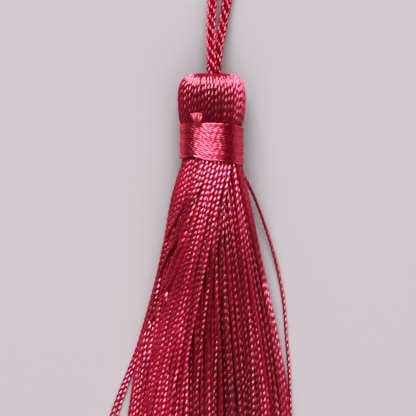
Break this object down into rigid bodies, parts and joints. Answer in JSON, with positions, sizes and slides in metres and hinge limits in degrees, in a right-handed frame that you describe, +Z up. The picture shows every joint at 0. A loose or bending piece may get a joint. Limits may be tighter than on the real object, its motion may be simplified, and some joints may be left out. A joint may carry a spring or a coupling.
{
  "type": "silk tassel with hanging cord",
  "caption": "Silk tassel lying on its side: a ribbed head of folded yarn, a wound band round the neck, a long skirt of strands and a twisted cord folded into a hanging loop.",
  "frame": {"origin": "middle of the flat patch under the head, on the surface that the tassel lies on", "axes": "+Y along the tassel from the skirt's tips to the cord, +Z up from the surface, +X to the right seen from above with the cord at the top"},
  "size_m": [0.0395, 0.1509, 0.012],
  "materials": {
    "skirt_silk": "lustrous two-ply silk yarn, deep crimson",
    "band_silk": "lustrous silk yarn wound in close turns, crimson",
    "cord_silk": "lustrous three-ply silk cord, crimson"
  },
  "bodies": {
    "root": {"head_and_skirt": "skirt_silk", "band": "band_silk", "hanging_cord": "cord_silk"}
  },
  "joints": []
}
